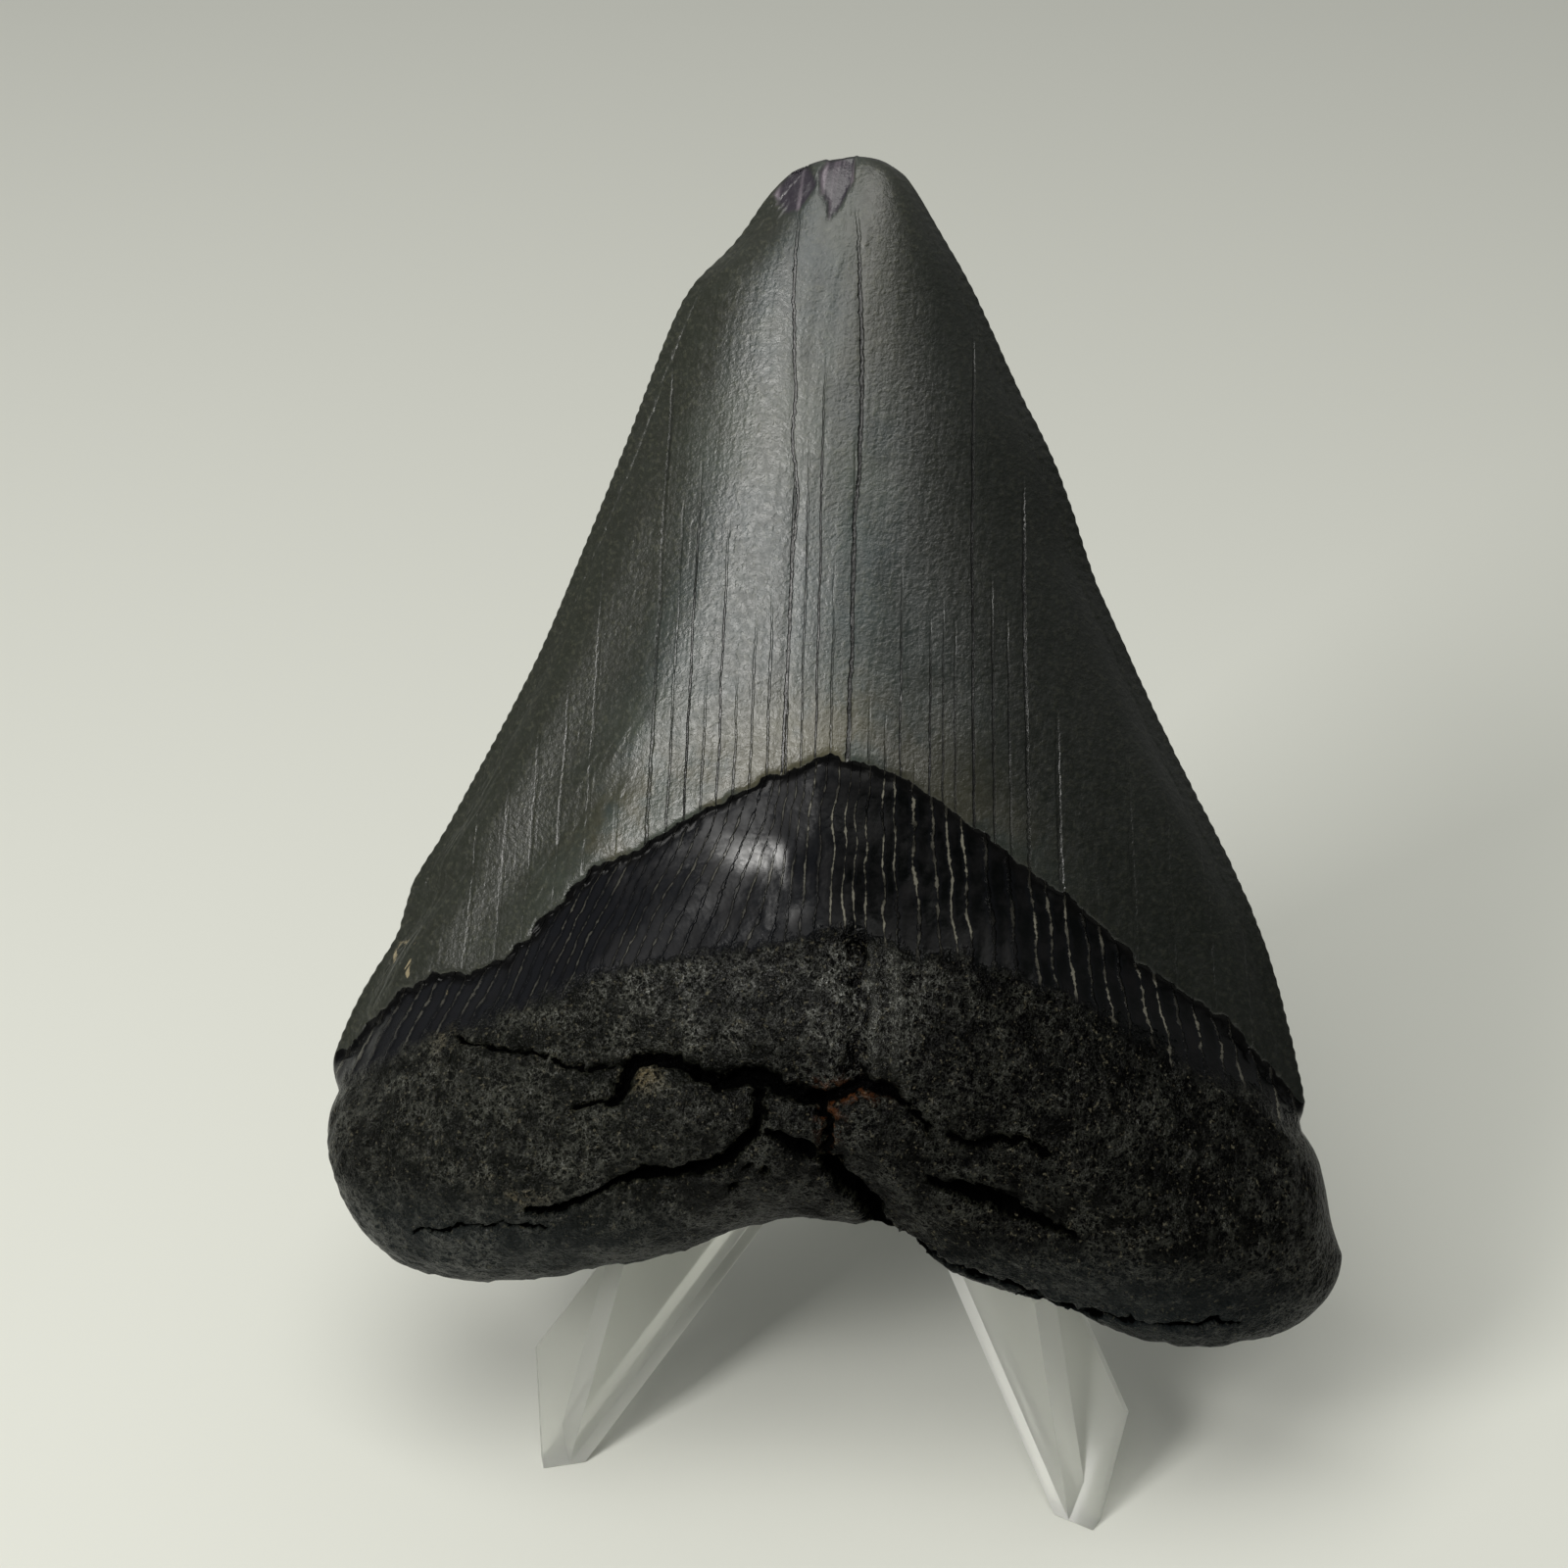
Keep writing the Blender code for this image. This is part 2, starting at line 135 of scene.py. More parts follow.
# Tooth: one fossil tooth, stone right through, with hard enamel over a porous root and a dark glossy band, the
# bourlette, between them. It leans back on the easel. The CAD solid is smoothed into a fine skin, and the wear
# of millions of years is worked into it: serrations, cracks, the broken enamel edge, ridges, pits and crevices.
TOOTH_ZERO = feet_middle + Vector((-2.0, 9.5, 23.0)) * MM
LEAN_BACK = radians(28)
ACROSS = Vector((1, 0, 0))
UP = Vector((0, sin(LEAN_BACK), cos(LEAN_BACK)))
OUT = Vector((0, -cos(LEAN_BACK), sin(LEAN_BACK)))
tooth_axes = np.array([ACROSS, UP, OUT])

# All the places below are across and up the tooth in millimetres, as they are seen from the camera. First the
# line where the enamel ends and the line where the root begins, with the bourlette between them.
ENAMEL_EDGE = [
    (-43.4, 9.6), (-41.6, 11.1), (-38.2, 15.4), (-34.5, 17.9), (-31.7, 18.0), (-28.0, 20.3), (-24.0, 25.2),
    (-21.1, 28.4), (-17.6, 30.1), (-11.4, 34.6), (-6.5, 37.4), (-1.5, 39.7), (0.9, 39.2), (4.3, 38.5),
    (8.4, 36.4), (12.4, 33.9), (17.2, 30.6), (20.3, 28.9), (23.6, 26.3), (29.7, 22.3), (33.9, 20.4),
    (37.4, 17.0), (39.8, 14.6), (41.4, 13.4),
]
ROOT_EDGE = [
    (-42.4, 6.7), (-38.0, 9.8), (-32.3, 12.5), (-24.3, 16.5), (-16.8, 19.7), (-9.2, 21.7), (-4.2, 23.6),
    (0.0, 24.3), (4.3, 23.4), (9.4, 22.9), (16.2, 22.0), (23.1, 19.4), (30.0, 16.6), (36.0, 14.2), (41.0, 11.5),
]
# Crevices of the root as they are seen from the front: half width, depth and route, in millimetres
CREVICES = [
    (0.16, 0.54, [(-31.9, 12.3), (-29.6, 11.9), (-25.7, 11.5), (-22.6, 10.8), (-20.4, 10.9), (-17.0, 11.6)]),
    (0.50, 1.53, [(-17.8, 8.4), (-17.4, 10.4), (-16.4, 11.8), (-14.9, 12.2), (-12.6, 12.2), (-10.5, 11.3)]),
    (0.59, 1.71, [
        (-11.5, 11.8), (-8.8, 10.8), (-7.0, 11.4), (-5.4, 11.6), (-3.3, 10.9), (-1.3, 10.2), (0.4, 10.4),
    ]),
    (0.43, 1.35, [(-0.6, 10.1), (1.3, 10.7), (2.5, 11.4), (3.9, 11.8), (5.6, 11.6), (6.7, 10.9)]),
    (0.25, 0.81, [(6.0, 11.5), (7.4, 10.6), (8.8, 9.3), (9.7, 7.7)]),
    (0.28, 0.72, [(11.2, 8.0), (13.0, 7.9), (14.8, 8.0), (17.5, 8.2), (20.0, 7.4)]),
    (0.22, 0.54, [(-21.6, 7.1), (-19.5, 8.1), (-17.8, 8.3)]),
    (0.37, 1.17, [(-5.6, 10.6), (-5.3, 8.9), (-5.4, 7.2), (-6.1, 5.7)]),
    (0.50, 1.26, [(-5.6, 6.5), (-7.4, 4.4), (-9.5, 3.4), (-12.0, 2.5), (-15.0, 2.0), (-16.6, 1.4)]),
    (0.28, 0.72, [(-16.0, 1.7), (-17.5, 1.0), (-19.6, -0.4), (-21.7, -1.5), (-25.1, -2.1)]),
    (0.50, 1.17, [(-4.1, 6.9), (-2.2, 6.0), (-0.3, 5.4)]),
    (0.37, 1.17, [(-0.5, 10.2), (0.1, 9.3), (0.8, 8.0), (0.9, 6.2)]),
    (0.12, 0.36, [(-34.7, -4.7), (-29.8, -3.8), (-22.9, -3.1)]),
    (0.65, 2.16, [(0.9, 5.0), (2.0, 3.7), (3.6, 2.5), (4.7, 1.4), (6.0, 0.1)]),
    (0.59, 1.62, [(12.2, 3.9), (13.6, 3.2), (15.2, 2.8), (17.4, 2.1)]),
    (0.31, 1.08, [(9.8, 4.2), (12.6, 3.7), (17.0, 2.3), (20.4, 1.1), (22.5, 0.8)]),
    (0.31, 0.90, [(6.8, 0.2), (9.2, -1.5), (11.4, -2.4), (14.9, -3.5), (20.0, -5.1), (25.1, -6.2)]),
    (0.19, 0.54, [(24.0, -6.1), (31.8, -6.1), (37.2, -5.4)]),
]
# Round openings in the root: place, radius and depth
PITS = [(-7.2, 1.9, 0.4, 1.0), (-4.4, 3.5, 0.34, 0.9), (-5.7, 3.8, 0.26, 0.6)]
# Two upright ridges of the root under the crown's peak, and the groove at their left
UPRIGHT_RIDGES = [
    [(3.4, 23.7), (3.6, 20.8), (4.2, 16.6), (4.7, 12.8)],
    [(5.7, 23.9), (5.6, 21.0), (6.2, 16.8), (6.2, 12.6)],
]
UPRIGHT_GROOVE = [(1.9, 24.0), (2.6, 20.7), (2.6, 15.6), (3.0, 12.3)]
# The flakes broken off the tip
FLAKES = [
    [(-9.1, 85.4), (-10.1, 86.8), (-8.6, 88.9), (-7.5, 89.8), (-6.4, 87.9), (-7.0, 86.9), (-7.9, 85.5)],
    [
        (-6.4, 88.9), (-5.4, 90.4), (-3.4, 90.3), (-3.3, 88.5), (-4.3, 86.0), (-5.2, 85.0), (-5.4, 86.3),
        (-6.1, 87.3),
    ],
]
# The crown's two long cracks, from the tip down, and how high they reach
LONG_CRACKS = [
    [
        (-2.9, 87.5), (-2.1, 80.4), (-1.3, 72.5), (-0.9, 64.1), (-1.0, 59.3), (-0.7, 56.5), (-0.2, 45.7),
        (0.0, 39.0),
    ],
    [(-7.7, 78.2), (-6.8, 69.7), (-6.8, 66.6), (-6.0, 61.3), (-6.0, 56.1), (-5.7, 45.2), (-5.5, 36.0)],
]
LONG_CRACK_TOPS = (87.0, 78.0)
# Where the crown's fine cracks meet the enamel's edge, counted from the left, and which of them are strong
CRACKS_AT_ENAMEL = [
    -34.0, -31.5, -29.0, -26.8, -24.5, -22.2, -19.8, -17.0, -15.4, -14.0, -12.6, -11.3, -9.9, -8.5, -7.1,
    -5.5, -4.2, -3.0, -1.7, -0.1, 1.6, 3.0, 4.3, 5.5, 6.8, 7.9, 8.9, 10.5, 12.2, 13.5, 14.9, 17.6, 20.4,
    23.5, 26.5, 29.5, 32.5,
]
STRONG_CRACKS = [7, 9, 11, 15, 17, 24, 27, 30]
# Where the bourlette's ridges cross its middle, and how they lean across the tooth and where that middle is
RIDGES_AT_BOURLETTE = [
    -45.0, -43.6, -42.2, -40.6, -39.2, -37.6, -36.2, -34.6, -33.4, -31.8, -30.3, -28.8, -27.6, -26.2,
    -24.7, -23.4, -22.1, -20.9, -19.7, -18.5, -17.4, -16.4, -15.1, -13.8, -12.4, -10.8, -9.4, -7.9, -6.8,
    -5.6, -4.6, -3.8, -2.8, -1.7, -0.5, 0.6, 1.4, 2.3, 3.9, 4.8, 6.7, 8.5, 9.8, 11.1, 13.3, 15.2, 17.3,
    18.7, 20.4, 22.2, 23.7, 25.2, 27.3, 28.9, 30.6, 32.2, 33.9, 35.4, 37.0, 38.4, 40.0, 41.5, 43.0,
]
RIDGE_LEAN = (
    (-45, -20, -12, -7, -4.5, 0, 6.6, 16.5, 30, 45),
    (-0.4, -0.5, -0.46, -0.28, -0.04, 0.03, 0.12, 0.2, 0.34, 0.4),
)
BOURLETTE_MIDDLE = ((-45, -30, -24, -10, 0, 10, 20, 30, 45), (8, 15, 20, 28, 31, 29, 24, 18, 12))


def smooth_step(values, low, high):
    """A soft rise from 0 at low to 1 at high; low may be the larger."""
    share = np.clip((values - low) / (high - low), 0, 1)
    return share * share * (3 - 2 * share)


def noise_at(points, scale, seed, octaves=1):
    """Smooth noise of about -1..1 at points in millimetres, with features about this many millimetres wide."""
    shift = Vector((seed * 17.3, seed * 5.1, seed * 9.7))
    total = np.zeros(len(points))
    for octave in range(octaves):
        fine = 2.0**octave / scale
        total += np.array([noise.noise(Vector(p) * fine + shift) for p in points]) / 2.0**octave
    return total


def line_offset(a, b, line):
    """How many millimetres above (+) or below (-) a line across the tooth each place is, square to it."""
    line = np.array(line)
    rise = np.interp(a, line[:, 0], line[:, 1])
    slope = np.interp(a, (line[1:, 0] + line[:-1, 0]) / 2, np.diff(line[:, 1]) / np.diff(line[:, 0]))
    return (b - rise) / np.sqrt(1 + slope**2)


def route_distance(a, b, route):
    """Distance from a route of straight runs, and the share of the way along it."""
    nearest, along = np.full(len(a), 1e3), np.zeros(len(a))
    lengths = [np.hypot(*np.subtract(end, start)) for start, end in zip(route[:-1], route[1:])]
    done = 0.0
    for start, end, length in zip(route[:-1], route[1:], lengths):
        run = np.subtract(end, start)
        share = np.clip(((a - start[0]) * run[0] + (b - start[1]) * run[1]) / length**2, 0, 1)
        distance = np.hypot(a - start[0] - share * run[0], b - start[1] - share * run[1])
        along = np.where(distance < nearest, (done + share * length) / sum(lengths), along)
        nearest = np.minimum(nearest, distance)
        done += length
    return nearest, along


def bell(distance, width, power=2):
    """1 in the middle, falling off softly over the width; the higher the power, the flatter the middle."""
    return np.exp(-((distance / width) ** power))


def tooth_places(points):
    """Points in metres as places across, up and out of the tooth, in millimetres."""
    return (points - np.array(TOOTH_ZERO)) @ tooth_axes.T / MM


camera_in_tooth = tooth_places(np.array([camera_place]))[0]


def seen_places(places):
    """Where each place is seen, across and up, on the plane through the cutting edges."""
    share = camera_in_tooth[2] / (camera_in_tooth[2] - places[:, 2])
    seen = camera_in_tooth[:2] + (places[:, :2] - camera_in_tooth[:2]) * share[:, None]
    return seen[:, 0], seen[:, 1]


def points_of(mesh):
    """A mesh's vertices as rows of x, y, z."""
    points = np.empty(len(mesh.vertices) * 3)
    mesh.vertices.foreach_get("co", points)
    return points.reshape(-1, 3)


def edge_ends(mesh):
    """The vertex numbers of the first and the second end of each edge."""
    ends = np.empty(len(mesh.edges) * 2, dtype=np.int32)
    mesh.edges.foreach_get("vertices", ends)
    return ends.reshape(-1, 2).T


bm = bmesh.new()
bm.from_mesh(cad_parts["tooth"].data)
bmesh.ops.remove_doubles(bm, verts=bm.verts, dist=1e-6)
bmesh.ops.join_triangles(
    bm, faces=bm.faces, angle_face_threshold=radians(50), angle_shape_threshold=radians(60),
)
rough = bpy.data.meshes.new("tooth_rough")
bm.to_mesh(rough)
bm.free()
rough_tooth = bpy.data.objects.new("tooth_rough", rough)
bpy.context.scene.collection.objects.link(rough_tooth)
smoothing = rough_tooth.modifiers.new("smoothing", "SUBSURF")
smoothing.levels = smoothing.render_levels = 1
smoothing.subdivision_type = "CATMULL_CLARK"
bpy.context.view_layer.update()
skin = bpy.data.meshes.new_from_object(rough_tooth.evaluated_get(bpy.context.evaluated_depsgraph_get()))
bpy.data.objects.remove(rough_tooth)
skin.name = "tooth_skin"
skin.materials.clear()


# The cutting edges: the furthest places left and right at each height, in millimetres
LOWEST_LEVEL, HIGHEST_LEVEL, LEVEL_STEP = -10.0, 93.0, 0.5
levels = np.arange(LOWEST_LEVEL, HIGHEST_LEVEL, LEVEL_STEP)
places = tooth_places(points_of(skin))
nearest_level = np.round((places[:, 1] - LOWEST_LEVEL) / LEVEL_STEP).astype(int).clip(0, len(levels) - 1)
left_edge, right_edge = np.full(len(levels), np.nan), np.full(len(levels), np.nan)
for k in range(len(levels)):
    row = places[abs(nearest_level - k) <= 1, 0]
    if len(row):
        left_edge[k], right_edge[k] = row.min(), row.max()
known = ~np.isnan(left_edge)


def edge_distances(places):
    """How far inside the left and the right edge each place is, and its share of the way to the nearer one."""
    left = np.interp(places[:, 1], levels[known], left_edge[known])
    right = np.interp(places[:, 1], levels[known], right_edge[known])
    middle, half = (left + right) / 2, np.maximum((right - left) / 2, 0.5)
    return places[:, 0] - left, right - places[:, 0], np.abs(places[:, 0] - middle) / half


# The skin is finer on the front, and finest along the serrations, the enamel's edge and the crevices
FRONT_FROM, RAISED_FRONT = -0.8, 1.0
SERRATED_BAND, SERRATED_FROM, STEEP = 1.6, 9, 0.65


def refine(mesh, test, cuts, pick=np.logical_and, steep_only=False, fill=True):
    """Splits the edges whose ends both pass a test, or either one where pick says so."""
    places = tooth_places(points_of(mesh))
    passed = test(places, *seen_places(places))
    first, second = edge_ends(mesh)
    picked = pick(passed[first], passed[second])
    if steep_only:
        run = places[second] - places[first]
        picked &= np.abs(run[:, 1]) > STEEP * np.linalg.norm(run, axis=1)
    bm = bmesh.new()
    bm.from_mesh(mesh)
    bm.edges.ensure_lookup_table()
    chosen = [bm.edges[k] for k in np.flatnonzero(picked)]
    bmesh.ops.subdivide_edges(bm, edges=chosen, cuts=cuts, use_grid_fill=fill)
    bm.to_mesh(mesh)
    bm.free()


def on_the_front(places, a, b):
    return places[:, 2] > FRONT_FROM


def along_the_sides(places, a, b):
    from_left, from_right, _ = edge_distances(places)
    return (np.minimum(from_left, from_right) < SERRATED_BAND) & (places[:, 1] > SERRATED_FROM)


def near_the_enamel_edge(places, a, b):
    return (np.abs(line_offset(a, b, ENAMEL_EDGE)) < 0.9) & (places[:, 2] > RAISED_FRONT)


def near_the_crevices(places, a, b):
    near = np.zeros(len(places), bool)
    for half_width, _, route in CREVICES:
        near |= route_distance(a, b, route)[0] < half_width + 0.5
    return near & (places[:, 2] > RAISED_FRONT)


refine(skin, on_the_front, cuts=1, pick=np.logical_or)
refine(skin, along_the_sides, cuts=4, steep_only=True, fill=False)
refine(skin, near_the_enamel_edge, cuts=1)
refine(skin, near_the_crevices, cuts=1)

# The crown and the bourlette are smoothed, so that no wave of the coarse solid shows in their highlights
SMOOTHING_ROUNDS, CROWN_ONLY_AFTER = 260, 60
points = points_of(skin)
places = tooth_places(points)
a, b = seen_places(places)
from_left, from_right, blade = edge_distances(places)
from_edge = np.minimum(from_left, from_right)
first, second = edge_ends(skin)
pull = 1 / np.maximum(np.linalg.norm(places[first] - places[second], axis=1), 0.05)
total_pull = np.bincount(first, pull, len(points)) + np.bincount(second, pull, len(points))
above_line = line_offset(a, b, ENAMEL_EDGE)
inner_front = (places[:, 2] > 0.3) * smooth_step(from_edge, 1.0, 4.0)
crown_part = smooth_step(above_line, 0.6, 3.0) * inner_front
above_root = smooth_step(line_offset(a, b, ROOT_EDGE), -6.0, -2.0)
band_part = smooth_step(-above_line, 1.0, 3.0) * above_root * inner_front
reach_out = places[:, 2].copy()
for step in range(SMOOTHING_ROUNDS):
    average = np.bincount(first, pull * reach_out[second], len(points))
    average += np.bincount(second, pull * reach_out[first], len(points))
    share = crown_part if step >= CROWN_ONLY_AFTER else np.maximum(crown_part, band_part)
    reach_out += share * (average / total_pull - reach_out)
points = points + (reach_out - places[:, 2])[:, None] * np.array(OUT) * MM
skin.vertices.foreach_set("co", points.ravel())
skin.update()

# What each place is: enamel, bourlette or root, with ragged borders
normals = np.empty(len(points) * 3)
skin.vertex_normals.foreach_get("vector", normals)
normals = normals.reshape(-1, 3)
places = tooth_places(points)
a, b = seen_places(places)
facing_out = normals @ np.array(OUT)
front = smooth_step(facing_out, -0.25, 0.1)
clear_of_edges = smooth_step(from_edge, 0.2, 2.0)
coarse = noise_at(places, 3.5, 1)
medium = noise_at(places, 1.3, 2)
fine = noise_at(places, 0.55, 3)

LIP_SIDE_DROP = 7.0
lip_side_drop = (1 - front) * LIP_SIDE_DROP
above_enamel_edge = line_offset(a, b + lip_side_drop, ENAMEL_EDGE) + 0.45 * medium + 0.22 * fine
above_root_edge = line_offset(a, b + lip_side_drop, ROOT_EDGE) + 1.2 * coarse + 0.5 * medium
enamel = smooth_step(above_enamel_edge, -0.06, 0.08)
root = smooth_step(-above_root_edge, -0.5, 0.8)
bourlette = (1 - enamel) * (1 - root)

# Crevices, pits, long cracks and flakes go in
LONG_CRACK_DEPTH, LONG_CRACK_WIDTH, FLAKE_DEPTH = 0.06, 0.2, 0.3
crevice, crack, flake, depth = (np.zeros(len(points)) for _ in range(4))
ragged_a = a + 0.4 * medium + 0.25 * fine
ragged_b = b + 0.35 * coarse + 0.3 * medium + 0.3 * fine
for half_width, deep, route in CREVICES:
    distance, along = route_distance(ragged_a, ragged_b, route)
    profile = bell(distance, half_width) * (1 - smooth_step(np.abs(along - 0.5), 0.44, 0.53))
    depth += deep * profile
    crevice = np.maximum(crevice, bell(distance, 1.25 * half_width, 4) * (profile > 0.02))
for place_a, place_b, radius, deep in PITS:
    distance = np.hypot(a - place_a + 0.1 * fine, b - place_b)
    depth += deep * bell(distance, radius, 4)
    crevice = np.maximum(crevice, bell(distance, 1.1 * radius, 4))
crack_offsets = []
for route, top in zip(LONG_CRACKS, LONG_CRACK_TOPS):
    route_a, route_b = np.array(route)[::-1].T
    offset = a - np.interp(b, route_b, route_a) + 0.12 * coarse + 0.04 * medium
    strength = smooth_step(b, top, top - 8.0) * enamel * front
    depth += LONG_CRACK_DEPTH * bell(offset, LONG_CRACK_WIDTH) * strength
    crack_offsets.append(offset)
    crack = np.maximum(crack, strength)
for outline in FLAKES:
    closed = outline + outline[:1]
    distance, _ = route_distance(a, b, closed)
    inside = np.zeros(len(points), bool)
    for (a_1, b_1), (a_2, b_2) in zip(closed[:-1], closed[1:]):
        if b_1 != b_2:
            inside ^= ((b_1 > b) != (b_2 > b)) & (a < (a_2 - a_1) * (b - b_1) / (b_2 - b_1) + a_1)
    flake = np.maximum(flake, smooth_step(np.where(inside, distance, -distance), -0.15, 0.25))
depth += FLAKE_DEPTH * flake


def crack_count(a, b):
    """A number that is whole on each fine crack of the crown; the cracks fan out from the tip."""
    fanned = a + (0.062 + 0.0025 * a) * (b - 43.8)
    return np.interp(fanned, CRACKS_AT_ENAMEL, range(len(CRACKS_AT_ENAMEL)))


def ridge_count(a, b):
    """A number that is whole on each ridge of the bourlette, which fan out downwards."""
    fanned = a + np.interp(a, *RIDGE_LEAN) * (b - np.interp(a, *BOURLETTE_MIDDLE))
    return np.interp(fanned, RIDGES_AT_BOURLETTE, range(len(RIDGES_AT_BOURLETTE)))


# The bourlette's ridges, the enamel's step, the bourlette's bulge and the root's lumps stand out
RIDGE_HEIGHT, ENAMEL_STEP, ENAMEL_RIPPLE = 0.08, 0.08, 0.012
UNDERCUT_DEPTH, UNDERCUT_WIDTH, UNDERCUT_BELOW = 0.22, 0.4, 0.45
BULGE_HEIGHT, BULGE_WIDTH, BULGE_BELOW = 0.55, 4.0, 7.0
lumps = noise_at(places, 7.0, 5)
folds = noise_at(places * np.array([1.0, 0.35, 1.0]), 1.0, 4)
root_relief = 0.35 * lumps + 0.28 * coarse + 0.17 * medium + 0.09 * fine + 0.10 * folds
upright = np.zeros(len(points))
for route in UPRIGHT_RIDGES:
    distance, _ = route_distance(a + 0.2 * medium, b, route)
    root_relief += 0.6 * bell(distance, 0.6)
    upright += bell(distance, 0.45)
distance, _ = route_distance(a + 0.2 * medium, b, UPRIGHT_GROOVE)
root_relief -= 0.8 * bell(distance, 0.9)
upright -= 1.2 * bell(distance, 0.8)
ridge = np.abs(ridge_count(a + 0.22 * coarse + 0.1 * medium, b) % 1 - 0.5) * 2
bulge = bell(line_offset(a, b, ENAMEL_EDGE) + BULGE_BELOW, BULGE_WIDTH) * smooth_step(a, 30.0, 15.0)
undercut = bell(above_enamel_edge + UNDERCUT_BELOW, UNDERCUT_WIDTH) * (1 + 0.8 * fine)
raised = RIDGE_HEIGHT * smooth_step(ridge, 0.5, 0.95) * bourlette * front
raised += ENAMEL_STEP * enamel * front * (1 - smooth_step(above_enamel_edge, 1.0, 4.0))
raised += root * root_relief * (1 - 0.3 * crevice)
raised += ENAMEL_RIPPLE * enamel * coarse
raised -= UNDERCUT_DEPTH * front * undercut
raised += BULGE_HEIGHT * front * bulge
move = ((raised - depth * front) * clear_of_edges)[:, None] * normals * MM

# The cutting edges are serrated, less where they are worn
SERRATION_PITCH, SERRATION_DEPTH = 1.08, 0.14
outwards = np.where(from_left < from_right, -1.0, 1.0)
edge_lengths = np.hypot(LEVEL_STEP, np.gradient(np.where(known, right_edge, 0.0)))
way_along = np.interp(places[:, 1], levels, np.cumsum(edge_lengths))
teeth = np.abs(np.sin(way_along * pi / SERRATION_PITCH)) ** 1.5
worn = 0.6 + 0.4 * noise_at(places[:, 1:2] * np.array([1.0, 0.0, 0.0]), 6.0, 6)
sharp_part = smooth_step(places[:, 1], 9.0, 12.0) * (1 - smooth_step(places[:, 1], 84.0, 87.0))
at_edge = 1 - smooth_step(from_edge, 0.1, 1.2)
inwards = (1 - teeth) * SERRATION_DEPTH * worn * sharp_part * at_edge
move -= (inwards * outwards)[:, None] * np.array(ACROSS) * MM
new_points = np.clip(points + move, *np.array(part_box("tooth")))
skin.vertices.foreach_set("co", new_points.ravel())
skin.update()

# What the material needs to know at each place


def spots(places_and_sizes):
    """A soft patch of 0..1 round each place."""
    total = np.zeros(len(points))
    for place_a, place_b, wide, tall in places_and_sizes:
        total = np.maximum(total, np.exp(-((a - place_a) / wide) ** 2 - ((b - place_b) / tall) ** 2))
    return total


# Each fine crack and each ridge has its own reach and its own strength
rng = np.random.default_rng(7)
crack_number = crack_count(a + 0.12 * coarse + 0.05 * medium, b)
crack_tops = 40.0 + 28.0 * rng.random(len(CRACKS_AT_ENAMEL))
crack_power = 0.4 + 0.4 * rng.random(len(CRACKS_AT_ENAMEL))
crack_tops[STRONG_CRACKS] += 12
crack_power[STRONG_CRACKS] = 1.0
which = np.round(crack_number).astype(int)
crack_amount = crack_power[which] * (1 - smooth_step(b, crack_tops[which] - 12, crack_tops[which])) * front
crack_amount = np.where(a > -1.0, np.minimum(1.25 * crack_amount, 1.0), crack_amount)
crack_amount *= 0.12 + 0.88 * smooth_step(a, -20.0, -15.0) * smooth_step(a, 21.0, 15.0)
ridge_number = ridge_count(a + 0.3 * coarse + 0.16 * medium, b)
ridge_power = rng.choice([0.15, 0.5, 0.8, 1.0, 1.0], len(RIDGES_AT_BOURLETTE) + 1)
ridge_low = -1.5 + 3.5 * rng.random(len(RIDGES_AT_BOURLETTE) + 1)
which = np.round(ridge_number).astype(int)
low = ridge_low[which]
ridge_amount = ridge_power[which] * smooth_step(above_root_edge, low - 0.5, low + 0.8)

# Stains and shiny places: across, up, half width and half height
CREAM_CHIPS = [
    (-38.2, 19.0, 0.2, 0.9), (-36.9, 18.0, 0.22, 1.0), (-37.2, 20.3, 0.8, 0.16), (-33.2, 15.2, 0.14, 1.6),
]
RUST_STAINS = [(2.0, 11.0, 2.4, 0.8), (0.9, 8.6, 0.8, 1.8)]
OCHRE_STAINS = [
    (-15.7, 10.5, 1.6, 1.2), (-26.1, -0.7, 2.4, 1.0), (-33.0, 14.5, 1.2, 3.0), (-37.0, 18.6, 1.4, 1.4),
]
GLOSSY_PLACES = [(-7.4, 30.6, 3.2, 1.5), (-4.2, 27.6, 2.0, 2.4)]
WRINKLED_PLACES = [(-9.0, 20.0, 10.0, 5.0), (2.0, 19.0, 7.0, 5.5)]
attributes = {
    "across": a,
    "height": b,
    "front": front,
    "blade": blade,
    "above_enamel_edge": above_enamel_edge,
    "above_root_edge": above_root_edge,
    "crack_number": crack_number,
    "crack_amount": crack_amount,
    "first_crack": crack_offsets[0],
    "second_crack": crack_offsets[1],
    "crack": crack,
    "ridge_number": ridge_number,
    "ridge_amount": ridge_amount,
    "crevice": crevice * front,
    "upright": upright,
    "flake": flake * front,
    "rim": smooth_step(facing_out, 0.62, 0.35) * smooth_step(b, 83.5, 86.5) * smooth_step(a, 1.0, -2.0),
    "cream": spots(CREAM_CHIPS) * front,
    "rust": spots(RUST_STAINS) * front,
    "ochre": spots(OCHRE_STAINS) * front,
    "gloss": 0.8 * spots(GLOSSY_PLACES) * front,
    "wrinkled": spots(WRINKLED_PLACES) * root,
}
for name, values in attributes.items():
    layer = skin.attributes.new(name, "FLOAT", "POINT")
    layer.data.foreach_set("value", values.astype(np.float32))
skin.shade_smooth()
tooth = bpy.data.objects.new("tooth_skin", skin)
bpy.context.scene.collection.objects.link(tooth)

fossil, nodes, links, shader = new_material("fossil_tooth")


def linear(red, green, blue):
    """A screen colour (0..255) as the shader's linear colour."""
    parts = (((c / 255 + 0.055) / 1.055) ** 2.4 if c > 10 else c / 255 / 12.92 for c in (red, green, blue))
    return (*parts, 1.0)


def put(target, value):
    """Joins a socket to a socket, or sets its own value."""
    if isinstance(value, bpy.types.NodeSocket):
        links.new(value, target)
    else:
        target.default_value = value


